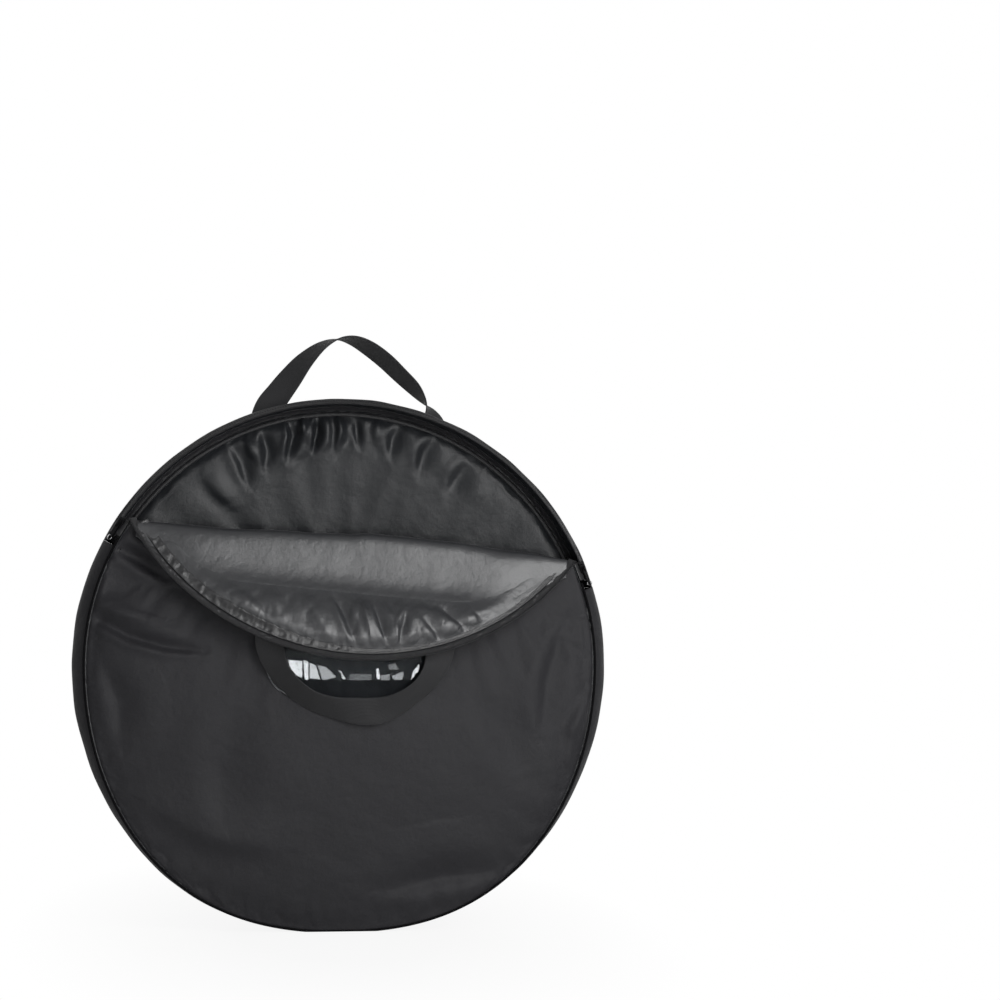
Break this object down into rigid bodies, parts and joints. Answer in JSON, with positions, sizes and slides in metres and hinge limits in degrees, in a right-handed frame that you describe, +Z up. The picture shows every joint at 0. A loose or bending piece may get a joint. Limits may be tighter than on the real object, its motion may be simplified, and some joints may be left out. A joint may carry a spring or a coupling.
{
  "type": "bike wheel bag",
  "caption": "Round padded bag that stands on its rim and holds a bicycle wheel, with a curved zip, a flap that folds down in front and two webbing handles.",
  "frame": {"origin": "the middle of the flat strip of the rim on which the bag stands", "axes": "+Z up; +X to the right as seen from the front; -Y towards the front, where the flap and the clear pocket are"},
  "size_m": [0.7494, 0.1847, 0.8375],
  "materials": {
    "outer_fabric": "matte charcoal woven polyester",
    "lining": "smooth slightly glossy dark grey lining cloth",
    "foam": "soft closed-cell foam sheet, never seen",
    "webbing": "ribbed black webbing",
    "zip_tape": "fine black woven tape",
    "zip_coil": "black nylon coil",
    "binding": "black binding tape",
    "slider_metal": "black painted die-cast metal",
    "ring_metal": "bright plated wire",
    "clear_vinyl": "clear flexible vinyl"
  },
  "bodies": {
    "bag": {"back_outer_fabric": "outer_fabric", "back_foam": "foam", "back_lining": "lining", "front_outer_fabric": "outer_fabric", "front_foam": "foam", "front_lining": "lining", "fold_roll": "outer_fabric", "upper_edge_band": "outer_fabric", "lower_edge_band": "outer_fabric", "upper_band_lining": "lining", "lower_band_lining": "lining", "front_seam_binding": "binding", "back_seam_binding": "binding", "rim_zip_tape": "zip_tape", "rim_zip_coil": "zip_coil", "left_tail_tape": "zip_tape", "left_tail_coil": "zip_coil", "left_zip_stop": "slider_metal", "right_tail_tape": "zip_tape", "right_tail_coil": "zip_coil", "right_zip_stop": "slider_metal", "back_strap_left_end": "webbing", "back_strap_right_end": "webbing", "pocket_window": "clear_vinyl"},
    "flap": {"flap_outer_fabric": "outer_fabric", "flap_foam": "foam", "flap_lining": "lining", "flap_edge_piping": "binding", "flap_zip_tape": "zip_tape", "flap_zip_coil": "zip_coil", "flap_strap_left_end": "webbing", "flap_strap_right_end": "webbing"},
    "flap_handle": {"flap_strap": "webbing"},
    "back_handle": {"back_strap": "webbing"},
    "left_zip_slider": {"left_slider": "slider_metal"},
    "left_zip_pull": {"left_slider_pull": "slider_metal", "left_slider_ring": "ring_metal"},
    "right_zip_slider": {"right_slider": "slider_metal"},
    "right_zip_pull": {"right_slider_pull": "slider_metal", "right_slider_ring": "ring_metal"}
  },
  "joints": [
    {"name": "flap_fold", "type": "hinge", "parent": "bag", "child": "flap", "pos_m": [0.01716, -0.0273, 0.54924], "axis": [-0.9954, 0, 0.0958], "range_deg": [0, 156]},
    {"name": "flap_handle_swing", "type": "hinge", "parent": "flap", "child": "flap_handle", "pos_m": [0.01786, -0.07573, 0.43124], "axis": [0.9954, 0, -0.0958], "range_deg": [-14, 0]},
    {"name": "back_handle_swing", "type": "hinge", "parent": "bag", "child": "back_handle", "pos_m": [0.01507, 0.03605, 0.69064], "axis": [-0.9989, 0, 0.0471], "range_deg": [0, 120]},
    {"name": "left_slider_travel", "type": "hinge", "parent": "bag", "child": "left_zip_slider", "pos_m": [0, 0, 0.371], "axis": [0, 1, 0], "range_deg": [0, 59.5]},
    {"name": "left_pull_swing", "type": "hinge", "parent": "left_zip_slider", "child": "left_zip_pull", "pos_m": [-0.30933, -0.02196, 0.57188], "axis": [-0.5643, 0.7398, 0.3664], "range_deg": [0, 120]},
    {"name": "right_slider_travel", "type": "hinge", "parent": "bag", "child": "right_zip_slider", "pos_m": [0, 0, 0.371], "axis": [0, -1, 0], "range_deg": [0, 59.5]},
    {"name": "right_pull_swing", "type": "hinge", "parent": "right_zip_slider", "child": "right_zip_pull", "pos_m": [0.34198, -0.02196, 0.50917], "axis": [-0.6238, -0.7398, -0.252], "range_deg": [0, 120]}
  ]
}
